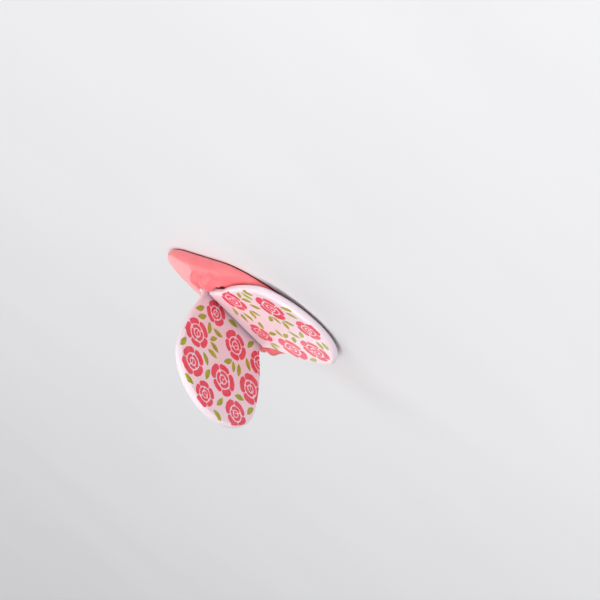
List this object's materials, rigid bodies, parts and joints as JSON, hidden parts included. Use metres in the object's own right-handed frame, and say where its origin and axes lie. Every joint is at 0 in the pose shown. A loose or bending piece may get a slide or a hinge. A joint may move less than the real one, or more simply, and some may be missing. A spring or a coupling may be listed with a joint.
{
  "type": "phone grip",
  "caption": "Stick-on phone grip: a low rounded base with petal-shaped wings on pins that fold flat on it, stand up to be held between the fingers, or prop a handset.",
  "frame": {"origin": "centre of the adhesive face", "axes": "+Z out of the surface it is stuck to, +X along the base towards the folded wing, +Y along the hinge pins"},
  "size_m": [0.06, 0.032, 0.0294],
  "materials": {
    "base_plastic": "satin moulded coral plastic",
    "wing_plastic": "satin white plastic with a printed face of roses and leaves",
    "adhesive_foam": "dark acrylic foam tape",
    "pin_steel": "drawn steel wire"
  },
  "bodies": {
    "base": {"base": "base_plastic", "adhesive_pad": "adhesive_foam", "left_hinge_pin": "pin_steel", "right_hinge_pin": "pin_steel"},
    "left_wing": {"left_wing": "wing_plastic"},
    "right_wing": {"right_wing": "wing_plastic"}
  },
  "joints": [
    {"name": "left_wing_hinge", "type": "hinge", "parent": "base", "child": "left_wing", "pos_m": [-0.0021, 0, 0.00448], "axis": [0, -1, 0], "range_deg": [0, 132.4]},
    {"name": "right_wing_hinge", "type": "hinge", "parent": "base", "child": "right_wing", "pos_m": [0.0021, 0, 0.00448], "axis": [0, -1, 0], "range_deg": [0, 56.6]}
  ]
}
